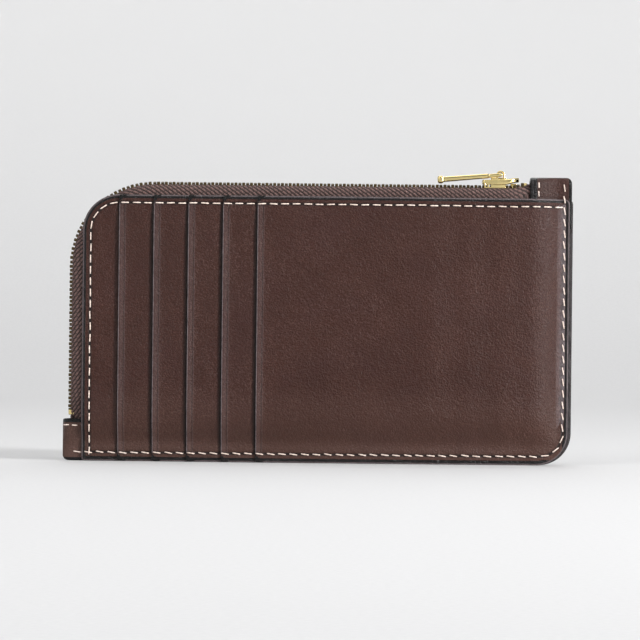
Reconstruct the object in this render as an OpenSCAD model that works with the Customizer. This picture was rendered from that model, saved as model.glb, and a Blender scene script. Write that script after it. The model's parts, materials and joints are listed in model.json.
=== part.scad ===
// Slim zippered card case. Five card slots open to the left on its front face, and one
// compartment behind them opens by a zip that runs along the top and down the left side.
// The panels are sewn together along the right side and the bottom.
//
// Z is up, X runs along the width and the slots are on the -Y side. The origin is under
// the middle of the bounding box, on the surface that the bottom edge stands on.
//
// Every leather ply is drawn in a flat frame, x along the width, y up, z outwards from
// the seam plane where the two sides meet, and on_side() then stands it up.

/* [Size] */
// Overall width, from the lower left zip tab to the right edge
overall_w = 133.4; // [125:0.2:145]
// Height of the sewn panels
panel_h = 69.8; // [66:0.2:76]
// Height of the zip above the panels' top edge, and its reach past their left edge
zip_stand = 3.3; // [3:0.1:4]
// Half of the space between the two linings, where the case is thickest
half_gap = 3.2; // [3.1:0.05:4]
// Width of the flat sewn margin along the right side and the bottom
sewn_margin = 4; // [3.5:0.1:5]
// Width of the curve between a sewn margin and the full thickness
slope_w = 13; // [12:0.5:13]

/* [Leather and lining] */
// Thickness of the lining fabric
lining_t = 0.25; // [0.2:0.05:0.3]
// Thickness of the stiffener, and of the zip tape that shares its layer
stiffener_t = 0.4; // [0.3:0.05:0.45]
// Thickness of the front base leather
base_t = 0.8; // [0.6:0.05:1]
// Thickness of the rear leather
rear_t = 1; // [0.8:0.05:1.4]
// Thickness of each skived slot leaf, and of the pocket panel
leaf_t = 0.45; // [0.4:0.05:0.6]
// Radius of the panels' top left corner
top_left_r = 9.5; // [8:0.5:11]
// Radius of the panels' bottom right corner
bottom_right_r = 8.4; // [7:0.1:10]
// How far the rear panel's right edge stands past the front's
edge_step = 1; // [0.8:0.1:1.6]

/* [Card slots] */
// Distance from the left edge to the first slot's mouth
first_mouth = 9.45; // [9:0.05:11]
// Distance between slot mouths
mouth_pitch = 9.05; // [8.5:0.05:9.1]
// Depth of a card slot
slot_depth = 81; // [79:0.5:82]

/* [Zip] */
// Outer radius of the zip's turn at the top left corner
zip_turn_r = 22; // [20:0.5:24]
// Pitch of the teeth on one tape
tooth_pitch = 2.03; // [1.8:0.01:2.2]
// Length of a tooth along the zip
tooth_l = 1.1; // [0.9:0.05:1.2]
// Width of one row of teeth and of the bead they grip, across the zip
bead_w = 1; // [0.9:0.05:1.05]
// Height of a bead with its teeth
bead_h = 1.2; // [1.1:0.05:1.25]
// Width of the tape that is sewn behind each panel's edge
tape_sewn = 5; // [4.5:0.1:5.5]

/* [Slider and pull] */
// Place of the slider's middle when the zip is shut
slider_x = 47.5; // [46.5:0.1:47.6]
// Length of the slider
slider_l = 9.7; // [9:0.1:10]
// Width of the slider's plates at their widest
slider_w = 4.8; // [4.6:0.1:4.9]
// Length of the pull from the bridge's middle to its free end
pull_l = 16.6; // [14:0.2:18]
// Width of the pull
pull_w = 3.6; // [3.4:0.1:4.4]
// Slope of the resting pull
pull_slope = 5; // [4.5:0.5:6]

/* [Thread] */
// Distance between stitches
stitch_pitch = 3; // [2.6:0.1:3.4]
// Visible length of a stitch
stitch_l = 2.3; // [2:0.1:2.4]
// Diameter of the thread
thread_d = 0.4; // [0.3:0.05:0.5]
// Distance of the zip seam from the panels' edge
zip_seam_in = 2.1; // [1.8:0.1:2.4]
// Distance of the closing seam from the panels' bottom edge
closing_seam_in = 2.3; // [2:0.1:2.6]
// Distance of the closing seam from the front's right edge
side_seam_in = 1.4; // [1.2:0.1:2.2]

/* [Hidden] */
$fn = 48;
FRONT = -1;
REAR = 1;
far = 100;
ply_clear = 0.01;
side_clear = 0.05;
corner_lift = 0.07;

tab_reach = 4.95;
left_x = tab_reach - overall_w / 2;
right_x = overall_w / 2;
front_right_x = right_x - edge_step;
small_r = 1.2;

slope_x = right_x - sewn_margin + 0.3;
slope_y = sewn_margin + 0.7;
slope_steps = 6;

leaf_count = 4;
knot_step = 4;
core_t = lining_t + stiffener_t;
front_t = core_t + base_t + (leaf_count + 1) * leaf_t;
rear_stack_t = core_t + rear_t;
// The seam plane is off the middle, because the front is the thicker side
seam_y = (front_t - rear_stack_t) / 2;

groove_t = 0.5;
groove_w = 0.8;
lining_in = 2;
stiffener_in = tape_sewn + 0.3;
edge_turn_r = zip_turn_r - zip_stand;

bead_clear = 0.45;
teeth_top = zip_stand;
bead_foot = zip_stand - bead_h;
tooth_h = bead_h * 0.35;
zip_end_x = right_x - 11.9;
zip_end_y = 11.4;

tab_t = 1.2;
tab_layer_t = 0.4;
tab_right = [right_x - 11.5, 62, right_x - 0.4, panel_h + 5.7];
tab_left = [-overall_w / 2, 0, -overall_w / 2 + 11, 11];
tab_room = 0.5;

teeth_top_z = panel_h + teeth_top;
bead_foot_z = panel_h + bead_foot;
plate_clear = 0.25;
upper_plate_z = teeth_top_z + plate_clear;
upper_plate_t = 1.25;
lower_plate_t = 0.75;
lower_plate_z = bead_foot_z - stiffener_t - plate_clear - lower_plate_t;
flange_t = 0.5;
bridge_w = 2.3;
bridge_d = 1.2;
bridge_top_z = panel_h + 7.5;
pivot_z = panel_h + 6.25;
pull_pin_r = 0.4;
pull_t = 1.1;
pull_cap_t = 1.9;
pull_cap_l = 1.6;
pull_ring_l = 3.2;
pull_arm_w = 0.75;
stop_l = 1.4;
stop_gap = 0.4;

leather_dark = "#4b3530";
leather_mid = "#543c37";
edge_paint = "#2c2626";
lining_colour = "#3a2c28";
tape_colour = "#5a4743";
thread_colour = "#efe2d6";
gold = "#c9a25c";

// The shape of the space between the linings ------------------------------------------

function smooth(t) = let(c = min(max(t, 0), 1)) c * c * (3 - 2 * c);
function gap_x(x) = half_gap * smooth((slope_x - x) / slope_w);
function gap_y(y) = half_gap * smooth((y - slope_y) / slope_w);

function mouth_x(k) = left_x + first_mouth + (k - 1) * mouth_pitch;
function leaf_end_x(k) = mouth_x(k) + slot_depth;

// What the leaves under layer k add at x: each one fades out past its pocket's end
function leaves_under(k, x) = k < 2 ? 0 :
    leaves_under(k - 1, x) + leaf_t * (1 - smooth((x - leaf_end_x(k - 1)) / knot_step - 1));
function layer_foot(k, x) = core_t + base_t + leaves_under(k, x);
function layers_at(x) = len([for (k = [1 : leaf_count + 1]) if (mouth_x(k) <= x) k]);
function front_skin(x) = layers_at(x) == 0 ? core_t + base_t :
    layer_foot(layers_at(x), x) + leaf_t;
function front_depth(x, y) =
    min(gap_x(x) + front_skin(x), gap_y(y) + core_t + base_t + layers_at(x) * leaf_t);
function rear_depth(x, y) = min(gap_x(x), gap_y(y)) + rear_stack_t;

x_knots = concat([-far], [for (x = [26 : knot_step : slope_x - slope_w - 1]) x],
    [for (i = [0 : slope_steps]) slope_x - slope_w + i * slope_w / slope_steps], [far]);
y_knots = concat([-far],
    [for (i = [0 : slope_steps]) slope_y + i * slope_w / slope_steps], [far]);

// Everything under a skin that stands by(x) proud of the lining, and no more than most
module under_skin(by, most, floor_z) {
    intersection() {
        rotate([90, 0, 0])
            linear_extrude(2 * far, center = true)
                polygon(concat([[far, floor_z], [-far, floor_z]],
                    [for (x = x_knots) [x, gap_x(x) + by(x)]]));
        rotate([90, 0, 90])
            linear_extrude(2 * far, center = true)
                polygon(concat([[far, floor_z], [-far, floor_z]],
                    [for (y = y_knots) [y, gap_y(y) + most]]));
    }
}

// One ply of an even thickness: children are its flat outline
module ply(foot, most_foot, thickness) {
    difference() {
        intersection() {
            linear_extrude(far / 2)
                children();
            under_skin(function(x) foot(x) + thickness - ply_clear,
                most_foot + thickness - ply_clear, side_clear);
        }
        under_skin(foot, most_foot, -1);
    }
}

module even_ply(foot, thickness) {
    ply(function(x) foot, foot, thickness)
        children();
}

module on_side(side) {
    translate([0, seam_y, 0])
        mirror([0, side == REAR ? 1 : 0, 0])
            rotate([90, 0, 0])
                children();
}

// Outlines ----------------------------------------------------------------------------

module corner_waste(corner, inward, r) {
    translate(corner)
        difference() {
            translate([min(inward.x * r, -inward.x), min(inward.y * r, -inward.y)])
                square(r + 1);
            translate(inward * r)
                circle(r);
        }
}

module panel_outline(left, right, bottom, top, top_left, bottom_right) {
    difference() {
        translate([left, bottom])
            square([right - left, top - bottom]);
        corner_waste([left, top], [1, -1], top_left);
        corner_waste([right, bottom], [-1, 1], bottom_right);
        corner_waste([left, bottom], [1, 1], small_r);
        corner_waste([right, top], [-1, -1], small_r);
    }
}

module front_outline() {
    panel_outline(left_x, front_right_x, 0, panel_h, top_left_r, bottom_right_r);
}

// The whole face out to a line that runs by_zip past the panels' zip edges
module zip_area(by_zip) {
    difference() {
        translate([left_x - by_zip, 0])
            square([right_x - left_x + by_zip, panel_h + by_zip]);
        corner_waste([left_x - by_zip, panel_h + by_zip], [1, -1], edge_turn_r + by_zip);
    }
}

// The band between two such lines, from one end of the zip to the other
module zip_band(inner, outer) {
    intersection() {
        difference() {
            zip_area(outer);
            zip_area(inner);
        }
        translate([left_x - far, zip_end_y])
            square([zip_end_x - left_x + far, far]);
    }
}

module tab_rooms() {
    for (tab = [tab_right, tab_left])
        translate([tab[0] - tab_room, tab[1] - tab_room])
            square([tab[2] - tab[0] + 2 * tab_room, tab[3] - tab[1] + 2 * tab_room]);
}

module inner_outline(inset) {
    difference() {
        intersection() {
            zip_area(-inset);
            front_outline();
        }
        tab_rooms();
    }
}

// Seams -------------------------------------------------------------------------------

// A stitch that lies on the skin, at an angle in the plane of the panel
module stitch(x, y, angle, depth) {
    reach = stitch_l / 2;
    before = depth(x - reach * cos(angle), y - reach * sin(angle));
    after = depth(x + reach * cos(angle), y + reach * sin(angle));
    translate([x, y, (before + after) / 2 + thread_d / 2 + side_clear])
        rotate([0, 0, angle])
            rotate([0, 90 - atan2(after - before, stitch_l), 0])
                cylinder(h = stitch_l, d = thread_d, center = true);
}

module stitch_line(from, to, slant, depth) {
    run = to - from;
    count = round(norm(run) / stitch_pitch);
    for (i = [0 : count - 1]) {
        at = from + run * (i + 0.5) / count;
        stitch(at.x, at.y, atan2(run.y, run.x) + slant, depth);
    }
}

module stitch_turn(centre, r, from, to, slant, depth) {
    count = round(abs(to - from) * PI / 180 * r / stitch_pitch);
    for (i = [0 : count - 1]) {
        angle = from + (to - from) * (i + 0.5) / count;
        stitch(centre.x + r * cos(angle), centre.y + r * sin(angle), angle + 90 + slant, depth);
    }
}

module zip_seam(depth) {
    x = left_x + zip_seam_in;
    y = panel_h - zip_seam_in;
    r = top_left_r - zip_seam_in;
    stitch_line([tab_right[0], y], [x + r, y], 0, depth);
    stitch_turn([x + r, y - r], r, 90, 180, 0, depth);
    stitch_line([x, y - r], [x, closing_seam_in + stitch_pitch / 2], 0, depth);
}

module closing_seam(right, depth) {
    slant = 8;
    x = right - side_seam_in;
    y = closing_seam_in;
    r = bottom_right_r - closing_seam_in;
    stitch_line([x, panel_h - 1], [x, y + r], slant, depth);
    stitch_turn([x - r, y + r], r, 0, -90, slant, depth);
    stitch_line([x - r, y], [left_x + 1, y], slant, depth);
}

// Front side --------------------------------------------------------------------------

module base_panel() {
    color(leather_mid)
        on_side(FRONT)
            even_ply(core_t, base_t)
                front_outline();
}

// Leaf k covers the face from its mouth to the end of its pocket
module slot_leaf(k) {
    color(leather_dark)
        on_side(FRONT)
            ply(function(x) layer_foot(k, x), layer_foot(k, left_x), leaf_t)
                intersection() {
                    front_outline();
                    translate([mouth_x(k), -1])
                        square([slot_depth, panel_h + 2]);
                }
}

module pocket_panel() {
    k = leaf_count + 1;
    color(leather_mid)
        on_side(FRONT)
            ply(function(x) layer_foot(k, x), layer_foot(k, left_x), leaf_t)
                intersection() {
                    front_outline();
                    translate([mouth_x(k), -1])
                        square([far, panel_h + 2]);
                }
}

// Both sides --------------------------------------------------------------------------

module stiffener(side) {
    color(edge_paint)
        on_side(side)
            even_ply(lining_t, stiffener_t)
                inner_outline(stiffener_in);
}

module lining(side) {
    color(lining_colour)
        on_side(side)
            even_ply(0, lining_t)
                inner_outline(lining_in);
}

// The tape runs up between lining and leather, turns inwards and ends in a bead
module tape(side) {
    top = bead_foot - ply_clear;
    skin = lining_t + stiffener_t - ply_clear;
    color(tape_colour)
        on_side(side) {
            even_ply(lining_t, stiffener_t)
                zip_band(-tape_sewn, top);
            intersection() {
                translate([0, 0, bead_clear])
                    linear_extrude(far / 2)
                        zip_band(top - stiffener_t, top);
                under_skin(function(x) skin, skin, -1);
            }
            translate([0, 0, bead_clear])
                linear_extrude(bead_w)
                    zip_band(top - stiffener_t, teeth_top - tooth_h);
            tape_tail();
        }
}

// The tape's end, held inside the tab at the top right
module tape_tail() {
    lap = 1;
    tail_t = 0.13;
    tail_w = 5;
    tail_l = 8;
    top = panel_h + bead_foot - ply_clear;
    translate([zip_end_x - lap, top - stiffener_t, side_clear])
        cube([lap, stiffener_t, bead_clear + bead_w / 2]);
    translate([zip_end_x - lap, top - tail_w, side_clear])
        cube([tail_l, tail_w, tail_t]);
}

// Separate metal teeth stand on the tape's bead. The rear row is half a pitch along, as
// teeth that mesh are
module teeth(side) {
    turn_centre = [left_x - zip_stand + zip_turn_r, panel_h + zip_stand - zip_turn_r];
    run_x = zip_end_x - stop_gap - turn_centre.x - stop_l - tooth_l;
    run_y = turn_centre.y - zip_end_y - stop_gap - stop_l - tooth_l;
    turn_steps = round(PI / 2 * zip_turn_r / tooth_pitch);
    first = (side == REAR ? 1 : 0.5) * tooth_pitch;
    color(gold)
        on_side(side)
            translate([turn_centre.x, turn_centre.y, bead_clear]) {
                for (x = [first : tooth_pitch : run_x])
                    translate([x, 0, 0])
                        tooth();
                for (i = [0 : turn_steps - 1])
                    rotate([0, 0, 90 * (i + 0.5) / turn_steps])
                        tooth();
                for (y = [first : tooth_pitch : run_y])
                    translate([0, -y, 0])
                        rotate([0, 0, 90])
                            tooth();
            }
}

module tooth() {
    translate([-tooth_l / 2, zip_turn_r - tooth_h + ply_clear, 0])
        cube([tooth_l, tooth_h, bead_w]);
}

// Tabs and stops ----------------------------------------------------------------------

// A tab is one strip folded over the tape ends. Its two corners on the fold are rounded,
// and the space between its layers runs from room to its open edges
module folded_tab(box, fold_corners, room) {
    size = [box[2] - box[0], box[3] - box[1]];
    color(leather_mid)
        translate([0, seam_y + tab_t / 2, 0])
            rotate([90, 0, 0])
                difference() {
                    linear_extrude(tab_t)
                        difference() {
                            translate([box[0], box[1]])
                                square(size);
                            for (corner = fold_corners)
                                corner_waste(corner[0], corner[1], small_r);
                        }
                    translate([room.x, room.y, tab_layer_t])
                        linear_extrude(tab_t - 2 * tab_layer_t)
                            square(size);
                }
}

module tab_top_right() {
    box = tab_right;
    folded_tab(box, [[[box[0], box[3]], [1, -1]], [[box[2], box[3]], [-1, -1]]],
        [box[0], box[1] - tab_layer_t]);
}

module tab_bottom_left() {
    box = tab_left;
    folded_tab(box, [[[box[0], box[1]], [1, 1]], [[box[0], box[3]], [1, -1]]],
        [box[0] + tab_layer_t, box[1]]);
}

module tab_threads() {
    skin = function(x, y) tab_t / 2;
    in = 2.3;
    color(thread_colour)
        for (side = [FRONT, REAR])
            on_side(side) {
                stitch_line([tab_right[0] + in, panel_h + 0.4],
                    [tab_right[0] + in, tab_right[3] - 1], 0, skin);
                stitch_line([left_x - 0.4, tab_left[3] - in],
                    [tab_left[0] + 1, tab_left[3] - in], 0, skin);
            }
}

// A crimped metal stop at the end of one row of teeth
module top_stop(side) {
    wall = 0.15;
    color(gold)
        on_side(side)
            translate([zip_end_x - stop_l - stop_gap, panel_h + teeth_top + 0.1, bead_clear - 0.2])
                cube([stop_l, wall + 0.2, bead_w + 0.4]);
}

module bottom_stop() {
    wall = 0.3;
    color(tape_colour)
        translate([left_x - teeth_top - 0.1 - wall, seam_y - bead_clear - bead_w, zip_end_y + 0.6])
            cube([wall, 2 * (bead_clear + bead_w), stop_l]);
}

module front_zip_seam_thread() {
    color(thread_colour)
        on_side(FRONT)
            zip_seam(function(x, y) front_depth(x, y));
}

module front_closing_seam_thread() {
    color(thread_colour)
        on_side(FRONT)
            closing_seam(front_right_x, function(x, y) front_depth(x, y) + corner_lift);
}

// Rear side ---------------------------------------------------------------------------

// The zip seam's thread lies in a groove, so that the case rests on its leather
module rear_panel() {
    color(leather_mid)
        on_side(REAR)
            difference() {
                even_ply(core_t, rear_t)
                    panel_outline(left_x, right_x, 0, panel_h, top_left_r, bottom_right_r);
                even_ply(core_t + rear_t - groove_t, 2 * groove_t)
                    zip_seam_groove();
            }
}

module zip_seam_groove() {
    intersection() {
        difference() {
            groove_side(zip_seam_in - groove_w / 2);
            groove_side(zip_seam_in + groove_w / 2);
        }
        translate([left_x, closing_seam_in + 0.5])
            square([tab_right[0] + 0.5 - left_x, panel_h]);
    }
}

module groove_side(inset) {
    panel_outline(left_x + inset, right_x + far, -far, panel_h - inset,
        top_left_r - inset, small_r);
}

module rear_zip_seam_thread() {
    color(thread_colour)
        on_side(REAR)
            zip_seam(function(x, y) rear_depth(x, y) - groove_t);
}

module rear_closing_seam_thread() {
    color(thread_colour)
        on_side(REAR)
            closing_seam(front_right_x, function(x, y) rear_depth(x, y));
}

// Slider and pull ---------------------------------------------------------------------

module at_slider(z) {
    translate([slider_x, seam_y, z])
        children();
}

// Seen from above, the slider is widest where the two rows of teeth meet
module slider_outline() {
    half_l = slider_l / 2;
    half_w = slider_w / 2;
    taper = 0.3;
    nose_l = 2.4;
    nose_in = 1;
    polygon([[-half_l, taper - half_w], [half_l - nose_l, -half_w], [half_l, nose_in - half_w],
        [half_l, half_w - nose_in], [half_l - nose_l, half_w], [-half_l, half_w - taper]]);
}

module slider_body() {
    flange_z = bead_foot_z + plate_clear;
    flange_l = 5.5;
    flange_in = 0.3;
    plate_lap = 0.3;
    end_in = 0.6;
    neck_t = 0.5;
    neck_l = 1.6;
    color(gold) {
        at_slider(upper_plate_z)
            linear_extrude(upper_plate_t)
                slider_outline();
        at_slider(lower_plate_z)
            linear_extrude(lower_plate_t)
                slider_outline();
        at_slider(flange_z)
            for (side = [-1, 1])
                translate([end_in - slider_l / 2,
                    side * (slider_w / 2 - flange_in - flange_t / 2) - flange_t / 2, 0])
                    cube([flange_l, flange_t, upper_plate_z + plate_lap - flange_z]);
        at_slider(lower_plate_z + lower_plate_t / 2)
            translate([slider_l / 2 - end_in - neck_l, -neck_t / 2, 0])
                cube([neck_l, neck_t, upper_plate_z - lower_plate_z]);
    }
}

// The bridge is an arch along the slide, and the pull's pin passes under it
module slider_bridge() {
    foot_z = upper_plate_z + upper_plate_t;
    window_w = 1.2;
    window_from = pivot_z - foot_z - window_w / 2;
    color(gold)
        at_slider(foot_z)
            translate([0, bridge_d / 2, 0])
                rotate([90, 0, 0])
                    linear_extrude(bridge_d)
                        difference() {
                            union() {
                                translate([-bridge_w / 2, 0])
                                    square([bridge_w, bridge_top_z - foot_z - bridge_w / 2]);
                                translate([0, bridge_top_z - foot_z - bridge_w / 2])
                                    circle(bridge_w / 2);
                            }
                            translate([-window_w / 2, window_from])
                                square([window_w, window_w / 2]);
                            translate([0, pivot_z - foot_z])
                                circle(window_w / 2);
                        }
}

// A flat bar with a ring at one end and a thick lip at the other, lying to the left
module pull_tab() {
    ring_gap = pull_w - 2 * pull_arm_w;
    color(gold)
        at_slider(pivot_z)
            rotate([0, -pull_slope, 0]) {
                difference() {
                    translate([-pull_l, -pull_w / 2, -pull_t / 2])
                        cube([pull_l, pull_w, pull_t]);
                    translate([-pull_ring_l, -ring_gap / 2, -pull_t])
                        cube([pull_ring_l + 1, ring_gap, 2 * pull_t]);
                }
                translate([-pull_l, -pull_w / 2, -pull_cap_t / 2])
                    cube([pull_cap_l, pull_w, pull_cap_t]);
                rotate([90, 0, 0])
                    cylinder(h = pull_w, r = pull_pin_r, center = true);
            }
}

base_panel();
slot_leaf(1);  // slot_leaf_1
slot_leaf(2);  // slot_leaf_2
slot_leaf(3);  // slot_leaf_3
slot_leaf(4);  // slot_leaf_4
pocket_panel();
stiffener(FRONT);  // front_stiffener
lining(FRONT);  // front_lining
tape(FRONT);  // front_tape
teeth(FRONT);  // front_teeth
tab_top_right();
tab_bottom_left();
tab_threads();
front_zip_seam_thread();  // zip_seam_thread_front
front_closing_seam_thread();  // closing_seam_thread_front
top_stop(FRONT);  // top_stop_front
top_stop(REAR);  // top_stop_rear
bottom_stop();
rear_panel();
stiffener(REAR);  // rear_stiffener
lining(REAR);  // rear_lining
tape(REAR);  // rear_tape
teeth(REAR);  // rear_teeth
rear_zip_seam_thread();  // zip_seam_thread_rear
rear_closing_seam_thread();  // closing_seam_thread_rear
slider_body();
slider_bridge();
pull_tab();
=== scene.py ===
"""Slim zippered card case: what shows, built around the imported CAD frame.

Lengths are in millimetres until a mesh is made. The leather, lining and tape are drawn in
a flat frame, (x, z, s): x along the width, z up, and s outwards from the seam plane where
the front and the rear meet. On the FRONT side s points to -Y, and on the REAR side to +Y.
"""

import json
import math

import bmesh
import bpy
import numpy as np
from mathutils import Matrix, Vector
from mathutils.geometry import delaunay_2d_cdt


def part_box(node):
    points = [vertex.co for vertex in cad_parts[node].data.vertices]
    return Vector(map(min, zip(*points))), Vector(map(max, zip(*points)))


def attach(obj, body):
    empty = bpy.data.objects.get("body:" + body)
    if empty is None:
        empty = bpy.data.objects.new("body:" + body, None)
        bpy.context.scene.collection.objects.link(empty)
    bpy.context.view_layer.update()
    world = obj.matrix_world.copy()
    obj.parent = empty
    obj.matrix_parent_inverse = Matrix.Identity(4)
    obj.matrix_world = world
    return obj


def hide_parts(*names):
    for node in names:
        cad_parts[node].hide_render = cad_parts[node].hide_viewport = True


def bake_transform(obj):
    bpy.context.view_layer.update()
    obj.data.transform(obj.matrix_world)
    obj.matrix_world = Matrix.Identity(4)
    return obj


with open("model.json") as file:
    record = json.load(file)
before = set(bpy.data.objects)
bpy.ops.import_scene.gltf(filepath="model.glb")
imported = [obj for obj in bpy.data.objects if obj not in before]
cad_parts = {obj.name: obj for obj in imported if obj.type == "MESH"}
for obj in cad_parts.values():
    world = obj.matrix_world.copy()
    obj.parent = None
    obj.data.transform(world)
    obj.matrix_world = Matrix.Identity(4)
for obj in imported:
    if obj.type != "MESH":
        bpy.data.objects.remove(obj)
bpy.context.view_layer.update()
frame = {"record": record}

MM = 0.001
FRONT, REAR = -1, 1
SIDES = ((FRONT, "front"), (REAR, "rear"))
RANDOM = np.random.default_rng(7)


# Sizes, from the frame -------------


def mm_box(node):
    low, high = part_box(node)
    return np.array(low) / MM, np.array(high) / MM


def joint(name):
    joints = frame["record"]["behaviour"]["joints"]
    return next(j for j in joints if j["name"] == name)


LEFT, FRONT_RIGHT = mm_box("base_panel")[0][0], mm_box("base_panel")[1][0]
TOP = mm_box("base_panel")[1][2]
RIGHT = mm_box("rear_panel")[1][0]
SEAM_Y = joint("mouth_open")["pos_m"][1] / MM
SLOTS = [f"slot_leaf_{k}" for k in (1, 2, 3, 4)] + ["pocket_panel"]
MOUTHS = [mm_box(node)[0][0] for node in SLOTS]
LEAF_ENDS = [mm_box(node)[1][0] for node in SLOTS]

LINING_T, STIFFENER_T, BASE_T, LEAF_T, REAR_T = 0.25, 0.4, 0.8, 0.45, 1.0
CORE_T = LINING_T + STIFFENER_T
HALF_GAP = SEAM_Y - mm_box("front_lining")[0][1] - LINING_T
TOP_LEFT_R, BOTTOM_RIGHT_R, SMALL_R = 9.5, 8.4, 1.2
SLOPE_X, SLOPE_Z, SLOPE_W = RIGHT - 3.7, 4.7, 13.0
LEAF_FADE = 8.0

ZIP_SEAM_IN, CLOSING_SEAM_IN = 2.1, 2.3
CLOSING_SEAM_X = mm_box("closing_seam_thread_front")[1][0] - 0.35
CLOSING_SEAM_R = BOTTOM_RIGHT_R - CLOSING_SEAM_IN
STITCH_PITCH, STITCH_L, THREAD_R = 3.0, 2.3, 0.155

ZIP_STAND = mm_box("front_teeth")[1][2] - TOP
ZIP_TURN_R = 22.0
ZIP_END_X = mm_box("top_stop_front")[1][0] + 0.4
ZIP_END_Z = mm_box("front_tape")[0][2]

# The mouth opens between the slider's two limits. Its far side bows out most at the middle
MOUTH_FROM = mm_box("slider_body")[1][0] - joint("zip_slide")["range_m"][1] / MM
MOUTH_TO = ZIP_END_X - 1
MOUTH_MIDDLE = (MOUTH_FROM + MOUTH_TO) / 2


def smooth(t):
    t = np.clip(t, 0, 1)
    return t * t * (3 - 2 * t)


def bump_at(distance, width):
    return np.exp(-((distance / width) ** 2))


def ripple(x, z):
    """Slow waves, about a tenth of a millimetre, as hand-cut leather has."""
    return (
        0.05 * np.sin(x / 9.3 + 1.1) * np.cos(z / 11.7)
        + 0.035 * np.sin(x / 4.9 - z / 7.3 + 0.4)
        + 0.02 * np.sin(x / 2.9 + z / 3.7)
    )


def swell(t, fullness, soft):
    """Lifts off softly, rises steeply from a seam and levels off."""
    t = np.clip(t, 0, 1)
    lifted = (1 + soft) * t * t / (t + soft)
    return 1 - (1 - lifted) ** fullness


def gap(x, z):
    """Half of the space inside, at a place on the face."""
    from_right = swell((SLOPE_X - x) / SLOPE_W, fullness=3.8, soft=0.06)
    return HALF_GAP * from_right * swell((z - SLOPE_Z) / SLOPE_W, fullness=3.2, soft=0.18)


# Meshes ----------------------------


def make_object(name, points, faces, attributes=None):
    mesh = bpy.data.meshes.new(name)
    mesh.from_pydata(np.asarray(points, float) * MM, [], faces)
    mesh.polygons.foreach_set("use_smooth", np.ones(len(mesh.polygons), bool))
    for key, values in (attributes or {}).items():
        layer = mesh.attributes.new(key, "FLOAT", "POINT")
        layer.data.foreach_set("value", np.asarray(values, np.float32))
    mesh.update()
    obj = bpy.data.objects.new(name, mesh)
    bpy.context.scene.collection.objects.link(obj)
    return obj


def outwards(obj):
    """Turns every face of a closed mesh outwards."""
    bm = bmesh.new()
    bm.from_mesh(obj.data)
    bmesh.ops.recalc_face_normals(bm, faces=bm.faces)
    bm.to_mesh(obj.data)
    bm.free()
    return obj


def stand_up(flat, side):
    """Flat (x, z, s) points as (x, y, z)."""
    flat = np.asarray(flat, float)
    return np.stack([flat[:, 0], SEAM_Y + side * flat[:, 2], flat[:, 1]], axis=1)


def turned(faces, side):
    return [tuple(reversed(f)) for f in faces] if side == REAR else faces


def make_flat(name, flat, faces, side, attributes=None):
    """A piece drawn in the flat frame of one side."""
    return make_object(name, stand_up(flat, side), turned(faces, side), attributes)


def ring_faces(rings, count, closed=False):
    """Quads between rings of points, count to a ring, stored one ring after another."""
    r, c = np.meshgrid(np.arange(rings if closed else rings - 1), np.arange(count), indexing="ij")
    r_next, c_next = (r + 1) % rings, (c + 1) % count
    quads = [r * count + c, r * count + c_next, r_next * count + c_next, r_next * count + c]
    return [tuple(q) for q in np.stack(quads, axis=-1).reshape(-1, 4).tolist()]


def tube_faces(rings, count):
    """The same, and the faces that close the tube at its two ends."""
    last = (rings - 1) * count
    ends = [tuple(reversed(range(count))), tuple(last + i for i in range(count))]
    return ring_faces(rings, count) + ends


def bevelled(outline, depth, width=0.12, segments=2):
    """A flat outline, [(x, y), ...], extruded both ways by depth / 2 with its edges rounded."""
    bm = bmesh.new()
    verts = [bm.verts.new((x, y, -depth / 2)) for x, y in outline]
    face = bm.faces.new(verts)
    extruded = bmesh.ops.extrude_face_region(bm, geom=[face])
    moved = [v for v in extruded["geom"] if isinstance(v, bmesh.types.BMVert)]
    bmesh.ops.translate(bm, verts=moved, vec=(0, 0, depth))
    bmesh.ops.recalc_face_normals(bm, faces=bm.faces)
    sharp = [e for e in bm.edges if len(e.link_faces) == 2 and e.calc_face_angle() > 0.5]
    bmesh.ops.bevel(bm, geom=sharp, offset=width, segments=segments, affect="EDGES", profile=0.5)
    points = [tuple(v.co) for v in bm.verts]
    bm.verts.index_update()
    faces = [tuple(v.index for v in f.verts) for f in bm.faces]
    bm.free()
    return np.array(points), faces


def block(low, high, width=0.1, segments=2):
    """A rounded bar between two corners."""
    (x0, y0, z0), (x1, y1, z1) = low, high
    points, faces = bevelled([(x0, y0), (x1, y0), (x1, y1), (x0, y1)], z1 - z0, width, segments)
    return points + (0, 0, (z0 + z1) / 2), faces


def many(shapes):
    """Joins [(points, faces), ...]."""
    points, faces, start = [], [], 0
    for shape_points, shape_faces in shapes:
        points.append(shape_points)
        faces += [tuple(i + start for i in f) for f in shape_faces]
        start += len(shape_points)
    return np.concatenate(points), faces


def cut_at(obj, x, keep):
    """The part of a closed mesh left (-1) or right (1) of x, with its cut closed."""
    piece = obj.copy()
    piece.data = obj.data.copy()
    piece.name = f"{obj.name}_{'left' if keep < 0 else 'right'}"
    piece.data.name = piece.name
    bpy.context.scene.collection.objects.link(piece)
    bm = bmesh.new()
    bm.from_mesh(piece.data)
    everything = bm.verts[:] + bm.edges[:] + bm.faces[:]
    cut = bmesh.ops.bisect_plane(
        bm, geom=everything, plane_co=(x * MM, 0, 0), plane_no=(1, 0, 0),
        clear_outer=keep < 0, clear_inner=keep > 0, dist=1e-7)
    edges = [e for e in cut["geom_cut"] if isinstance(e, bmesh.types.BMEdge)]
    caps = bmesh.ops.holes_fill(bm, edges=edges, sides=0)["faces"]
    for cap in caps:
        for edge in cap.edges:
            edge.smooth = False
    bm.to_mesh(piece.data)
    bm.free()
    return piece


def dress(obj, finish):
    """Gives a piece its finish's material; the finish's slot is not used here."""
    material, slot = finish
    obj.data.materials.append(material)
    return obj


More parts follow.
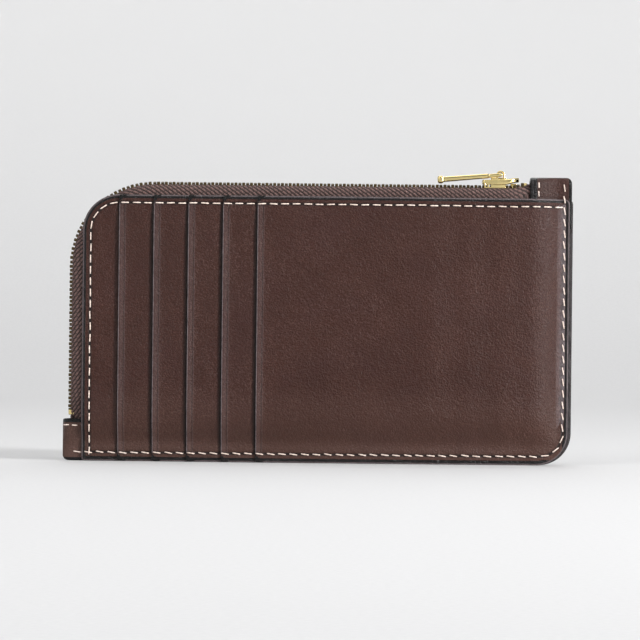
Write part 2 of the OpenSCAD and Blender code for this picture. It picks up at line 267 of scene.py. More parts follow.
def bend_rear(whole, node):
    """Parts a rear piece at the mouth's middle into two halves that stand in its CAD node's place."""
    for keep, held in ((-1, MOUTH_FROM), (1, MOUTH_TO)):
        half = cut_at(whole, MOUTH_MIDDLE, keep)
        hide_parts(node)
        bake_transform(half)
    bpy.data.objects.remove(whole)


def stand_for(obj, node, side=FRONT, body="front_side"):
    """Shows a piece in a CAD node's place: a rear piece is cut in two at the mouth's middle, and any other
    rides on a body.
    """
    if side == REAR:
        bend_rear(obj, node)
    else:
        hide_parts(node)
        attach(obj, body)


# Materials -------------------------


class Nodes:
    """Short names for building one material's node tree. A value is a socket or a constant."""

    def __init__(self, name):
        self.material = bpy.data.materials.new(name)
        self.material.use_nodes = True
        self.tree = self.material.node_tree
        self.shader = self.tree.nodes["Principled BSDF"]
        self.place = self.add("ShaderNodeTexCoord", "Object")

    def link(self, value, target):
        if isinstance(value, (int, float, tuple)):
            target.default_value = value
        else:
            self.tree.links.new(value, target)

    def fill(self, node, inputs):
        """Gives a node's inputs their values by name, with _ for a space."""
        for key, value in inputs.items():
            self.link(value, node.inputs[key.replace("_", " ")])

    def add(self, kind, output, settings=None, **inputs):
        """A new node's output."""
        node = self.tree.nodes.new(kind)
        for key, value in (settings or {}).items():
            setattr(node, key, value)
        self.fill(node, inputs)
        return node.outputs[output]

    def axis(self, letter):
        return self.add("ShaderNodeSeparateXYZ", letter, Vector=self.place)

    def attribute(self, name):
        return self.add("ShaderNodeAttribute", "Fac", {"attribute_name": name})

    def math(self, operation, a, b=0.0):
        node = self.tree.nodes.new("ShaderNodeMath")
        node.operation = operation
        self.link(a, node.inputs[0])
        self.link(b, node.inputs[1])
        return node.outputs[0]

    def plus(self, a, b):
        return self.math("ADD", a, b)

    def times(self, a, b):
        return self.math("MULTIPLY", a, b)

    def total(self, first, *others):
        """The sum of (weight, value) pairs."""
        result = self.times(first[1], first[0])
        for weight, value in others:
            result = self.plus(result, self.times(value, weight))
        return result

    def noise(self, scale, detail=3.0, roughness=0.55, distortion=0.0):
        return self.add("ShaderNodeTexNoise", "Fac", Vector=self.place, Scale=scale, Detail=detail,
                        Roughness=roughness, Distortion=distortion)

    def cells(self, scale, feature="F1"):
        return self.add("ShaderNodeTexVoronoi", "Distance", {"feature": feature},
                        Vector=self.place, Scale=scale)

    def span(self, value, low, high, to_low=0.0, to_high=1.0):
        return self.add("ShaderNodeMapRange", "Result", Value=value, From_Min=low, From_Max=high,
                        To_Min=to_low, To_Max=to_high)

    def spread(self, noise, to_low=0.0, to_high=1.0):
        """Stretches the middle of a noise's range."""
        return self.span(noise, 0.3, 0.7, to_low, to_high)

    def mix(self, factor, a, b):
        return self.add("ShaderNodeMix", "Result", {"data_type": "RGBA"}, Factor=factor, A=a, B=b)

    def bump(self, height, strength, distance):
        return self.add("ShaderNodeBump", "Normal", Height=height, Strength=strength, Distance=distance)

    def finish(self, colour, roughness, **others):
        self.fill(self.shader, {"Base_Color": colour, "Roughness": roughness, **others})
        return self.material


def srgb(text, gain=1.0):
    """A colour like "543c37" as linear red, green, blue and 1."""
    values = [int(text[i : i + 2], 16) / 255 for i in (0, 2, 4)]
    linear = [v / 12.92 if v <= 0.04045 else ((v + 0.055) / 1.055) ** 2.4 for v in values]
    return tuple(gain * v for v in linear) + (1.0,)


def leather_material(name, tint, gain):
    """Smooth calf leather: faint mottling, fine pores, painted edges; painted shade at seams, creases and
    lips; painted highlights, sheen glints and a lighter bottom as painted light.
    """
    n = Nodes(name)
    mottle = n.spread(n.noise(60, 4, 0.65))
    red = n.span(n.noise(85, 3, 0.5, 0.6), 0.48, 0.72, 0.0, 0.75)
    speckle = n.spread(n.noise(2600, 2, 0.7), 0.0, 0.45)
    # Painted glints: pale specks of sheen painted into the colour, a painted highlight.
    painted_glints = n.times(n.span(n.noise(2700, 1, 0.5), 0.5, 0.68, 0.0, 0.42), mottle)
    # Painted light: the leather is made lighter towards the bottom, to make up for the shade that falls
    # there.
    painted_bottom_light = n.span(n.axis("Z"), 0.004, 0.02, 0.34, 0.0)
    ragged = n.plus(n.attribute("paint"), n.spread(n.noise(900, 2), -0.12, 0.12))
    paint = n.span(ragged, 0.4, 0.6)
    # Painted highlights on the rims and the slots' lips, broken up a little.
    painted_highlight = n.times(n.attribute("painted_highlight"), n.span(n.noise(700, 3), 0.3, 0.6, 0.6, 1))
    colour = n.mix(mottle, srgb(tint, 0.9 * gain), srgb(tint, 1.08 * gain))
    for amount, tone in (
        (red, srgb("542b24", gain)),
        (speckle, srgb("2b1c19", gain)),
        (painted_glints, srgb("8f6d62", gain)),
        (painted_bottom_light, srgb("8a6a5f", gain)),
        # Painted shade: seams, creases and the lines beside the slots' lips are painted near black.
        (n.attribute("painted_shade"), srgb("0b0706", gain)),
        (paint, srgb("100e0e")),
        # Painted highlight: pale grey.
        (painted_highlight, srgb("97888a")),
    ):
        colour = n.mix(amount, colour, tone)
    pores, grain = n.cells(3000), n.noise(4200, 3, 0.6)
    creases = n.span(n.cells(1300, "DISTANCE_TO_EDGE"), 0.0, 0.12)
    folds, pebbles = n.noise(750, 3, 0.6, 0.3), n.noise(2000, 2, 0.6)
    height = n.total((0.5, pores), (0.7, grain), (0.22, creases), (2.2, folds), (2.6, pebbles))
    roughness = n.spread(n.noise(420, 4, 0.6), 0.34, 0.46)
    roughness = n.mix(paint, roughness, (0.22, 0.22, 0.22, 1))
    return n.finish(colour, roughness, Normal=n.bump(height, 0.7, 0.00013), Specular_IOR_Level=0.24)


def fabric_material(name, thread, pitch, tint, deep):
    """Plain woven cloth: over and under threads along X and Z."""
    n = Nodes(name)
    turn = math.tau / pitch
    warp, weft = [n.math("SINE", n.times(n.axis(letter), turn)) for letter in "XZ"]
    fuzz = n.noise(5200, 3, 0.7)
    height = n.plus(n.times(warp, weft), fuzz)
    colour = n.mix(n.span(height, -0.6, 1.6), srgb(deep), srgb(tint))
    slub = n.span(n.noise(160, 3), 0.35, 0.7, 0.0, 0.3)
    colour = n.mix(slub, colour, srgb(thread))
    return n.finish(colour, n.spread(fuzz, 0.72, 0.9), Normal=n.bump(height, 0.6, 0.00008),
                    Specular_IOR_Level=0.25, Sheen_Weight=0.15)


def tape_material():
    """Twill zip tape: the cords are in the mesh, the threads of each cord are here, and the grooves between
    the cords get painted shade.
    """
    n = Nodes("zip_tape_twill")
    strands = n.math("SINE", n.times(n.attribute("twist"), math.tau))
    fuzz = n.noise(6500, 3, 0.7)
    detail = n.plus(n.times(strands, 0.5), fuzz)
    # Painted shade: the grooves between the twill's cords are painted near black.
    colour = n.mix(n.span(n.attribute("cord"), 0.42, 0.95), srgb("050202"), srgb("6a524e"))
    colour = n.mix(n.span(detail, 0.2, 1.3, 0.0, 0.4), colour, srgb("8a726c"))
    return n.finish(colour, n.spread(fuzz, 0.62, 0.82), Normal=n.bump(detail, 0.5, 0.00006),
                    Specular_IOR_Level=0.25, Sheen_Weight=0.04)


def thread_material():
    """Waxed thread: fine fibres, a little soiled here and there."""
    n = Nodes("waxed_thread")
    fibres = n.noise(9000, 3, 0.6, 0.4)
    soil = n.span(n.noise(300, 3), 0.35, 0.7)
    colour = n.mix(soil, srgb("fbe9de"), srgb("e4cebf"))
    colour = n.mix(n.span(fibres, 0.3, 0.55, 0.35, 0.0), colour, srgb("a58d80"))
    return n.finish(colour, n.spread(fibres, 0.5, 0.68), Normal=n.bump(fibres, 0.4, 0.00004),
                    Specular_IOR_Level=0.35, Sheen_Weight=0.2)


def metal_material(name, tint, rough, scratch):
    """Plated metal: light handling marks and a soft orange-peel polish."""
    n = Nodes(name)
    haze = n.noise(500, 4, 0.6)
    n.place = n.add("ShaderNodeMapping", "Vector", Vector=n.place, Scale=(1.0, 6.0, 6.0))
    lines = n.noise(2400, 4, 0.75)
    colour = n.mix(n.spread(haze), srgb(tint, 0.9), srgb(tint, 1.08))
    hazy = n.spread(haze, rough - 0.05, rough + 0.05)
    roughness = n.plus(hazy, n.span(lines, 0.45, 0.7, 0.0, 0.08))
    return n.finish(colour, roughness, Normal=n.bump(lines, scratch, 0.00002), Metallic=1.0)


LEATHER = leather_material("calf_leather", "552a1d", 0.46), "leather"
LEAF_LEATHER = leather_material("calf_leather_slots", "532a1e", 0.47), "leaf_leather"
# The tabs are the panels' calf leather; this copy is toned apart to match how the light falls on the tabs:
# painted light.
TAB_LEATHER_PAINTED_LIGHT = leather_material("calf_leather_tabs_painted_light", "4c3129", 0.58), "leather"
LINING = fabric_material("lining_weave", "5d4a42", 0.0009, "4a3831", "2a1f1b"), "lining"
BOARD = fabric_material("stiffener_board", "4a4240", 0.0016, "3a3432", "242120"), "stiffener"
TAPE = tape_material(), "zip_tape"
THREAD = thread_material(), "thread"
GOLD = metal_material("pale_gold", "e0cc90", rough=0.1, scratch=0.1), "gold_metal"
# The teeth are the slider's gold painted brown and dim: painted shade for the shadow they sit in.
TEETH_GOLD_SHADED = metal_material("tooth_gold_painted_shade", "50442f", rough=0.36, scratch=0.2), "gold_metal"


# Leather plies ---------------------

EDGE_R, EDGE_TURNS = 0.28, (60, 30, 0, -30, -60)
TOP_INSETS = (0.32, 0.5, 0.68, 0.85, 1.05, 1.25, 1.4, 1.5, 1.6, 1.75, 1.9, 2.0, 2.1, 2.2,
              2.3, 2.45, 2.65, 2.95, 3.4, 4.0)
WITHIN = 99.0  # the inset given to points inside the innermost ring
RIM_PAINT, BOTTOM_PAINT, MOUTH_PAINT, PAINT_FADE = 0.92, 1.2, 0.24, 0.2


class Outline:
    """A rounded rectangle, (left, right, bottom, top), and its corners' radii, anticlockwise
    from the bottom right."""

    def __init__(self, box, radii, step=0.6):
        self.box, self.radii = box, radii
        left, right, bottom, top = box
        self.side_counts = [max(2, round(side / step)) for side in (top - bottom, right - left)] * 2
        self.arc_counts = [max(3, round(r * math.pi / 2 / step)) for r in radii]

    def ring(self, inset):
        left, right, bottom, top = self.box
        corners = ((right, bottom, -1, 1), (right, top, -1, -1), (left, top, 1, -1), (left, bottom, 1, 1))
        arcs = []
        for k, (x, z, to_x, to_z) in enumerate(corners):
            reach = max(self.radii[k], inset + 0.02)
            r = max(self.radii[k] - inset, 0.02)
            angles = np.radians(-90 + 90 * k + np.linspace(0, 90, self.arc_counts[k] + 1))
            arc_x = x + to_x * reach + r * np.cos(angles)
            arc_z = z + to_z * reach + r * np.sin(angles)
            arcs.append(np.stack([arc_x, arc_z], axis=1))
        points = []
        for k, arc in enumerate(arcs):
            following = arcs[(k + 1) % 4][0]
            t = np.linspace(0, 1, self.side_counts[k] + 1)[1:-1, None]
            points += [arc, arc[-1] * (1 - t) + following * t]
        return np.concatenate(points)


def interior(ring, spacing):
    """Points on a grid inside a ring, and the triangles that fill the ring with them."""
    low, high = ring.min(axis=0), ring.max(axis=0)
    xs = np.arange(low[0] + spacing, high[0] - spacing / 2, spacing)
    zs = np.arange(low[1] + spacing, high[1] - spacing / 2, spacing)
    grid = np.stack(np.meshgrid(xs, zs), axis=-1).reshape(-1, 2)
    edge = np.roll(ring, -1, axis=0) - ring
    normal = np.stack([-edge[:, 1], edge[:, 0]], axis=1)
    normal /= np.linalg.norm(normal, axis=1)[:, None] + 1e-12
    depth = np.full(len(grid), np.inf)
    for start, inward in zip(ring[::2], normal[::2]):
        depth = np.minimum(depth, (grid - start) @ inward)
    grid = grid[depth > spacing * 0.55]
    flat = [Vector(p) for p in np.concatenate([ring, grid])]
    found = delaunay_2d_cdt(flat, [], [list(range(len(ring)))], 1, 1e-5)
    source = [ids[0] for ids in found[3]]
    return grid, [tuple(source[i] for i in f) for f in found[2]]


def ply(name, outline, foot, thickness, relief, side, spacing=1.0, paint=None, marks=None,
        insets=TOP_INSETS):
    """A closed sheet of leather or cloth. foot(x, z) is its inner face's distance from the
    seam plane, relief(x, z) what is pressed into or stands out of its outer face,
    paint(x, z, inset) says where its rim is painted, and marks(x, z, shade, highlight)
    adds to the painted shade and painted highlights."""
    edge_r = min(thickness / 2, EDGE_R)
    insets = [edge_r] + [i for i in insets if i > edge_r + 0.05]
    # Each ring has an inset and a level, from 1 on the outer face to -1 on the inner one
    rings = [(inset, 1.0) for inset in reversed(insets)]
    rings += [(edge_r * (1 - math.cos(turn)), math.sin(turn)) for turn in np.radians(EDGE_TURNS)]
    rings += [(edge_r, -1.0), (insets[-1], -1.0)]
    places = [outline.ring(inset) for inset, _ in rings]
    count = len(places[0])
    grid, triangles = interior(places[0], spacing)

    x, z = np.concatenate(places + [grid, grid]).T
    sizes = [count] * len(rings) + [len(grid)] * 2
    inset_of, level_of = np.repeat(rings + [(WITHIN, 1.0), (WITHIN, -1.0)], sizes, axis=0).T
    low = foot(x, z)
    high = low + thickness + relief(x, z)
    points = np.stack([x, z, (low + high) / 2 + level_of * (high - low) / 2], axis=1)

    faces = [tuple(reversed(f)) for f in ring_faces(len(rings), count)]
    last, outer, inner = (len(rings) - 1) * count, len(rings) * count, len(rings) * count + len(grid)
    faces += [tuple(i if i < count else outer + i - count for i in f) for f in triangles]
    faces += [tuple(last + i if i < count else inner + i - count for i in reversed(f))
              for f in triangles]

    painted = paint(x, z, inset_of) if paint else np.zeros(len(x))
    # A painted highlight along the rounded painted rim, stronger on the front.
    rim_highlight_strength = 0.5 if side == FRONT else 0.15
    # Painted shade along the stitch lines.
    painted_shade = 0.95 * seam_nearness(x, z, 0.36)
    painted_highlight = rim_highlight_strength * painted * bump_at(inset_of - 0.2, 0.13)
    if marks:
        painted_shade, painted_highlight = marks(x, z, painted_shade, painted_highlight)
    return make_flat(name, points, faces, side, {"paint": painted, "painted_shade": painted_shade, "painted_highlight": painted_highlight})


def in_from_zip_edges(x, z):
    """Distance in from the top and left edges and the corner between them."""
    plain = np.minimum(x - LEFT, TOP - z)
    from_corner = TOP_LEFT_R - np.hypot(x - LEFT - TOP_LEFT_R, z - TOP + TOP_LEFT_R)
    corner = (x < LEFT + TOP_LEFT_R) & (z > TOP - TOP_LEFT_R)
    return np.where(corner, from_corner, plain)


def in_from_sewn_edges(x, z, right=FRONT_RIGHT, bottom=0.0, r=BOTTOM_RIGHT_R):
    """Distance in from the right and bottom edges and the corner between them."""
    plain = np.minimum(right - x, z - bottom)
    corner = (x > right - r) & (z < bottom + r)
    return np.where(corner, r - np.hypot(x - right + r, z - bottom - r), plain)


def seam_nearness(x, z, width):
    """1 on a line of stitches, falling to 0 about a width away."""
    zip_line = bump_at(in_from_zip_edges(x, z) - ZIP_SEAM_IN, width) * (x < CLOSING_SEAM_X + 0.5)
    from_line = in_from_sewn_edges(x, z, CLOSING_SEAM_X, CLOSING_SEAM_IN, CLOSING_SEAM_R)
    return np.maximum(zip_line, bump_at(from_line, width))


def groove(x, z):
    """How deep the stitches pull the leather in."""
    return 0.15 * seam_nearness(x, z, 0.34)


def edge_relief(x, z):
    """Leather pressed down at its rim and along its seams, and full between them."""
    rim = np.minimum(in_from_zip_edges(x, z), in_from_sewn_edges(x, z))
    return -0.16 * smooth(1 - rim / 4.2) - groove(x, z) - 0.07 * bump_at(rim - 1.05, 0.16)


def painted_to(width, inset):
    """1 within a painted rim of this width, fading to 0 beyond it."""
    return 1 - smooth((inset - width) / PAINT_FADE + 0.5)


# The front is built in layers: 0 is the base panel, and 1 to 5 are the leaves of the slots


def front_outline(layer):
    left, right = (MOUTHS[layer - 1], LEAF_ENDS[layer - 1]) if layer else (LEFT, FRONT_RIGHT)
    bottom_right = SMALL_R if 0 < layer < 5 else BOTTOM_RIGHT_R
    top_left = SMALL_R * 0.4 if layer else TOP_LEFT_R
    return Outline((left, right, 0, TOP), (bottom_right, SMALL_R, top_left, SMALL_R * 0.6))


def leaves_under(layer, x):
    """How far the leaves below a layer lift it at x."""
    lift = np.zeros_like(x)
    for end in LEAF_ENDS[:max(layer - 1, 0)]:
        lift = lift + LEAF_T * (1 - smooth((x - end) / LEAF_FADE))
    return lift


def gape(layer, x, z):
    """A slot's free edge stands a little open between the seams that hold its ends."""
    if layer == 0:
        return 0 * x
    held = smooth(np.minimum(z - 3, TOP - 3 - z) / 9)
    return (0.06 + 0.26 * held) * bump_at(x - MOUTHS[layer - 1], 1.7)


def front_foot(layer):
    def foot(x, z):
        under = (BASE_T if layer else 0) + leaves_under(layer, x)
        return gap(x, z) + CORE_T + under + gape(layer, x, z)
    return foot


def front_relief(layer):
    def relief(x, z):
        surface = edge_relief(x, z) + ripple(x, z) * smooth((x - MOUTHS[-1]) / 12)
        if layer:
            from_mouth = x - MOUTHS[layer - 1]
            surface = surface - 0.07 * bump_at(from_mouth - 1.5, 0.16)
            surface = surface - 0.04 * smooth(1 - from_mouth / 1.3)
        if layer < 5:
            surface = surface - 0.12 * bump_at(x - MOUTHS[layer] + 0.1, 0.3)
        return surface
    return relief


def front_skin(x, z):
    """The front's outermost face, without its seam grooves."""
    layer = sum((x >= mouth).astype(int) for mouth in MOUTHS)
    depth = np.zeros(len(x))
    for k in range(6):
        here = layer == k
        thickness = LEAF_T if k else BASE_T
        depth[here] = (front_foot(k)(x, z) + thickness + edge_relief(x, z))[here]
    return depth + groove(x, z)


def front_paint(layer):
    def paint(x, z, inset):
        at_mouth = (np.minimum(TOP - z, z) > 1.4) & (x < FRONT_RIGHT - 1.4) & (layer > 0)
        rim = np.where(z < 1.6, BOTTOM_PAINT, RIM_PAINT)
        return painted_to(np.where(at_mouth, MOUTH_PAINT, rim), inset)
    return paint


def front_marks(layer):
    """Painted highlights on a slot's lip and the creased line behind it, painted shade in that crease, and
    a painted shadow beside the next lip.
    """
    def marks(x, z, painted_shade, painted_highlight):
        inside = smooth(np.minimum(z - 1.9, TOP - 1.9 - z) / 0.8)
        if layer:
            from_mouth = x - MOUTHS[layer - 1]
            # Painted highlights: the lit lip, a light band behind it and the light side of its crease.
            painted_highlight = np.where(from_mouth < 2, 0.75 * bump_at(from_mouth - 0.14, 0.11) * inside, painted_highlight)
            painted_highlight += 0.1 * bump_at(from_mouth - 0.8, 0.4) * inside
            painted_highlight += 0.16 * bump_at(from_mouth - 1.72, 0.12) * inside
            # Painted shade in the crease behind the lip.
            painted_shade = np.maximum(painted_shade, 0.5 * bump_at(from_mouth - 1.5, 0.13) * inside)
        if layer < 5:
            # A painted shadow on this layer beside the next leaf's lip.
            painted_shade = np.maximum(painted_shade, bump_at(np.minimum(x - MOUTHS[layer] + 0.05, 0), 0.36) * inside)
        return painted_shade, painted_highlight
    return marks


def build_front():
    for layer, node in enumerate(["base_panel"] + SLOTS):
        name = f"{node}_leather" if layer else "front_base"
        thickness = LEAF_T - 0.03 if layer else BASE_T
        panel = ply(name, front_outline(layer), front_foot(layer), thickness, front_relief(layer), FRONT,
                    paint=front_paint(layer), marks=front_marks(layer))
        stand_for(dress(panel, LEAF_LEATHER if 0 < layer < 5 else LEATHER), node)


def rear_relief(x, z):
    return edge_relief(x, z) + 1.3 * ripple(x + 40, z) * smooth(in_from_sewn_edges(x, z) / 12)


def rear_foot(x, z):
    return gap(x, z) + CORE_T


def rear_skin(x, z):
    return rear_foot(x, z) + REAR_T + edge_relief(x, z) + groove(x, z)


def rear_paint(x, z, inset):
    return painted_to(RIM_PAINT, inset)


def build_rear():
    outline = Outline((LEFT, RIGHT, 0, TOP), (BOTTOM_RIGHT_R, SMALL_R, TOP_LEFT_R, SMALL_R * 0.6))
    panel = ply("rear_panel_leather", outline, rear_foot, REAR_T, rear_relief, REAR, paint=rear_paint)
    stand_for(dress(panel, LEATHER), "rear_panel", REAR)


def inner_ply(name, side, under, thickness, zip_in, sewn_in):
    """A flat-faced sheet inside, on top of what is under it, and set in from the edges."""
    turn_r = ZIP_TURN_R - ZIP_STAND - zip_in
    outline = Outline((LEFT + zip_in, FRONT_RIGHT - sewn_in, sewn_in, TOP - zip_in),
                      (BOTTOM_RIGHT_R - sewn_in, SMALL_R, turn_r, SMALL_R), 1.5)
    return ply(name, outline, lambda x, z: 0.04 + gap(x, z) + under, thickness - 0.02,
               lambda x, z: 0 * x, side, spacing=2.5, insets=(1.0, 2.5))


def build_inside():
    for side, word in SIDES:
        lining = inner_ply(f"{word}_lining_cloth", side, 0, LINING_T, 2.0, 1.5)
        stand_for(dress(lining, LINING), f"{word}_lining", side)
        board = inner_ply(f"{word}_stiffener_board", side, LINING_T, STIFFENER_T, 5.3, 3.5)
        stand_for(dress(board, BOARD), f"{word}_stiffener", side)


# Stitching -------------------------

THREAD_SIDES, THREAD_STATIONS = 10, 13
TAB_SKIN_AT_SEAM = 0.72
DOWN_SLANT, ALONG_SLANT = math.radians(11), math.radians(-8)


def stitches(places, skin, length=STITCH_L, radius=THREAD_R):
    """Twisted two-ply stitches, [(x, z, angle), ...], that rise from a hole and sink into the
    next. Each lies a little off its place and its angle, as hand-guided stitches do."""
    t = np.linspace(-1, 1, THREAD_STATIONS)
    around = np.arange(THREAD_SIDES) * math.tau / THREAD_SIDES
    faces = [tuple(reversed(f)) for f in tube_faces(THREAD_STATIONS, THREAD_SIDES)]
    shapes = []
    for x, z, angle in places:
        angle = angle + math.radians(RANDOM.normal(0, 1.6))
        x, z = x + RANDOM.normal(0, 0.04), z + RANDOM.normal(0, 0.04)
        along_x, along_z = math.cos(angle), math.sin(angle)
        line_x, line_z = x + along_x * t * length / 2, z + along_z * t * length / 2
        line_s = skin(line_x, line_z) + 0.06 - 0.62 * np.abs(t) ** 7
        twist = around[None, :] - t[:, None] * 3.4 + RANDOM.uniform(0, 3)
        r = radius * (1 + 0.16 * np.cos(2 * twist)) * (1 - 0.35 * np.abs(t[:, None]) ** 6)
        across, up = r * np.cos(around), r * np.sin(around)
        flat = np.stack([line_x[:, None] - along_z * across, line_z[:, None] + along_x * across,
                         line_s[:, None] + up], axis=-1)
        shapes.append((flat.reshape(-1, 3), faces))
    return many(shapes)


def run_places(start, end, slant=0.0):
    """Stitches in a straight run between two (x, z) places."""
    start, end = np.array(start, float), np.array(end, float)
    count = round(float(np.linalg.norm(end - start)) / STITCH_PITCH)
    angle = math.atan2(end[1] - start[1], end[0] - start[0]) + slant
    return [(*(start + (end - start) * (i + 0.5) / count), angle) for i in range(count)]


def turn_places(centre, r, start, end, slant=0.0):
    """Stitches round an arc, from one angle to another in degrees."""
    count = round(abs(end - start) * math.pi / 180 * r / STITCH_PITCH)
    places = []
    for i in range(count):
        a = math.radians(start + (end - start) * (i + 0.5) / count)
        places.append((centre[0] + r * math.cos(a), centre[1] + r * math.sin(a), a + math.pi / 2 + slant))
    return places


def zip_seam_places():
    x, z, r = LEFT + ZIP_SEAM_IN, TOP - ZIP_SEAM_IN, TOP_LEFT_R - ZIP_SEAM_IN
    return (run_places((CLOSING_SEAM_X, z), (x + r, z))
            + turn_places((x + r, z - r), r, 90, 180)
            + run_places((x, z - r), (x, 1.2)))


def closing_seam_places():
    x, z, r = CLOSING_SEAM_X, CLOSING_SEAM_IN, CLOSING_SEAM_R
    return (run_places((x, TOP + 4.4), (x, z + r), DOWN_SLANT)
            + turn_places((x - r, z + r), r, 0, -90, ALONG_SLANT)
            + run_places((x - r, z), (LEFT - 2.6, z), ALONG_SLANT))


def over_tabs(skin):
    """A panel's skin, but the tab's where a seam runs on past the panel's edge."""
    def both(x, z):
        return np.where((z > TOP + 0.15) | (x < LEFT - 0.15), TAB_SKIN_AT_SEAM, skin(x, z))
    return both


def build_seams():
    for (side, word), skin in zip(SIDES, (front_skin, rear_skin)):
        for kind, places in (("zip", zip_seam_places()), ("closing", closing_seam_places())):
            seam = make_flat(f"{kind}_seam_{word}", *stitches(places, over_tabs(skin)), side)
            stand_for(dress(seam, THREAD), f"{kind}_seam_thread_{word}", side)


# Zip -------------------------------

ZIP_TURN = (LEFT - ZIP_STAND + ZIP_TURN_R, TOP + ZIP_STAND - ZIP_TURN_R)
EDGE_TURN_R = ZIP_TURN_R - ZIP_STAND
TAPE_OVERRUN = 1.8
TOP_RUN_L = ZIP_END_X + TAPE_OVERRUN - ZIP_TURN[0]
TURN_L = EDGE_TURN_R * math.pi / 2
SIDE_RUN_L = ZIP_TURN[1] - ZIP_END_Z + TAPE_OVERRUN
ROUTE_L = TOP_RUN_L + TURN_L + SIDE_RUN_L

TAPE_STEP, TAPE_SAMPLES, TAPE_T = 0.16, 58, 0.3
TWILL_PITCH, TWILL_LEAN, FLOAT_L = 0.8, math.radians(-36), 1.5

TOOTH_PITCH, TOOTH_L, TEETH_FROM_END = 2.03, 0.8, 3.4
TOOTH_PROFILE = [(1.76, 2.05), (1.95, 2.35), (1.95, 3.1), (1.72, 3.46), (1.1, 3.56), (0.5, 3.56),
                 (0.22, 3.4), (-0.35, 3.34), (-0.52, 3.1), (-0.52, 2.6), (-0.35, 2.4), (0.22, 2.3),
                 (0.42, 2.05)]


def zip_route(p):
    """Along the zip's foot line from its right end: place (x, z) and outward direction."""
    p = np.asarray(p, float)
    on_top, on_side = p < TOP_RUN_L, p > TOP_RUN_L + TURN_L
    angle = np.clip((p - TOP_RUN_L) / TURN_L, 0, 1) * math.pi / 2
    out = np.stack([-np.sin(angle), np.cos(angle)], axis=-1)
    x = ZIP_TURN[0] + EDGE_TURN_R * out[..., 0] + np.where(on_top, TOP_RUN_L - p, 0)
    z = ZIP_TURN[1] + EDGE_TURN_R * out[..., 1] - np.where(on_side, p - TOP_RUN_L - TURN_L, 0)
    return x, z, out


def end_lift(x):
    """The zip climbs a little as it runs into the tab at its shut end."""
    return 1.1 * smooth((x - ZIP_END_X + 4.2) / 4.5)


def pinch(x, z):
    """1 along the zip, less where a tab holds its end together."""
    return 0.45 + 0.55 * smooth((ZIP_END_X + 1 - x) / 7) * smooth((z - ZIP_END_Z + 1) / 7)


def tape_section(depth):
    """Points (u, s) across the tape, one row for each depth: u is out past the panel's edge.
    It comes out from under the panel, bends over and runs in to the teeth."""
    one = np.ones_like(depth)
    bend = depth - 0.42
    drop = depth - 1.97
    u = [-3.0, -1.0, 0.3, 1.3, 2.05, 2.5, 2.5, 2.4, 2.72, 2.72, 2.45, 2.1]
    s = [depth, depth, depth, depth - 0.08, bend, bend - drop * 0.3, bend - drop * 0.6,
         1.55 * one, 1.18 * one, 0.72 * one, 0.45 * one, 0.6 * one]
    return np.stack([np.stack([k * one for k in u], axis=-1), np.stack(s, axis=-1)], axis=-1)


def catmull(points, samples):
    """A smooth curve through rows of points: (rows, k, 2) to (rows, samples, 2)."""
    k = points.shape[1]
    t = np.linspace(0, k - 1 - 1e-9, samples)
    i = t.astype(int)
    f = (t - i)[None, :, None]
    a, b, c, d = [points[:, np.clip(i + shift, 0, k - 1)] for shift in (-1, 0, 1, 2)]
    squared, cubed = 2 * a - 5 * b + 4 * c - d, 3 * b - a - 3 * c + d
    return 0.5 * (2 * b + (c - a) * f + squared * f**2 + cubed * f**3)


def twill(p, v):
    """Height, 0 to 1, of a slanting cord weave, and how far along its cord a place is."""
    across = (p * math.sin(TWILL_LEAN) + v * math.cos(TWILL_LEAN)) / TWILL_PITCH
    along = (p * math.cos(TWILL_LEAN) - v * math.sin(TWILL_LEAN)) / FLOAT_L + 0.5 * np.floor(across)
    cord = np.sin(math.pi * (across - np.floor(across))) ** 0.7
    float_height = 0.45 + 0.55 * np.sin(math.pi * (along - np.floor(along))) ** 0.5
    return cord * float_height, along * 3


def tape(side, word):
    """Half of the zip's tape, with the twill's cords standing out of its outer face."""
    p = np.arange(0, ROUTE_L, TAPE_STEP)
    x, z, out = zip_route(p)
    depth = np.maximum(1.75, gap(x, z) * pinch(x, z) + LINING_T + STIFFENER_T / 2 + 0.05)
    section = catmull(tape_section(depth), TAPE_SAMPLES)
    step = np.diff(section, axis=1, append=section[:, -1:] * 2 - section[:, -2:-1])
    length = np.linalg.norm(step, axis=-1)
    normal = np.stack([-step[..., 1], step[..., 0]], axis=-1) / (length[..., None] + 1e-9)
    v = np.cumsum(length, axis=1) - length[:, :1]
    height, twist = twill(p[:, None] + 0 * v, v)
    outer = section + normal * (0.3 * height[..., None] - 0.1)
    inner = section - normal * TAPE_T

    def flat(uv):
        u = uv[..., 0] + end_lift(x)[:, None] * (uv[..., 0] > 0.2)
        return np.stack([x[:, None] + out[:, None, 0] * u, z[:, None] + out[:, None, 1] * u,
                         uv[..., 1]], axis=-1)

    loop = np.concatenate([flat(outer), flat(inner)[:, ::-1]], axis=1)
    faces = tube_faces(*loop.shape[:2])
    cord = np.concatenate([height, 0.55 + 0 * height], axis=1).ravel()
    twist = np.concatenate([twist, twist[:, ::-1]], axis=1).ravel()
    obj = make_object(f"{word}_zip_tape", stand_up(loop.reshape(-1, 3), side), faces,
                      {"cord": cord, "twist": twist})
    return dress(outwards(obj), TAPE)


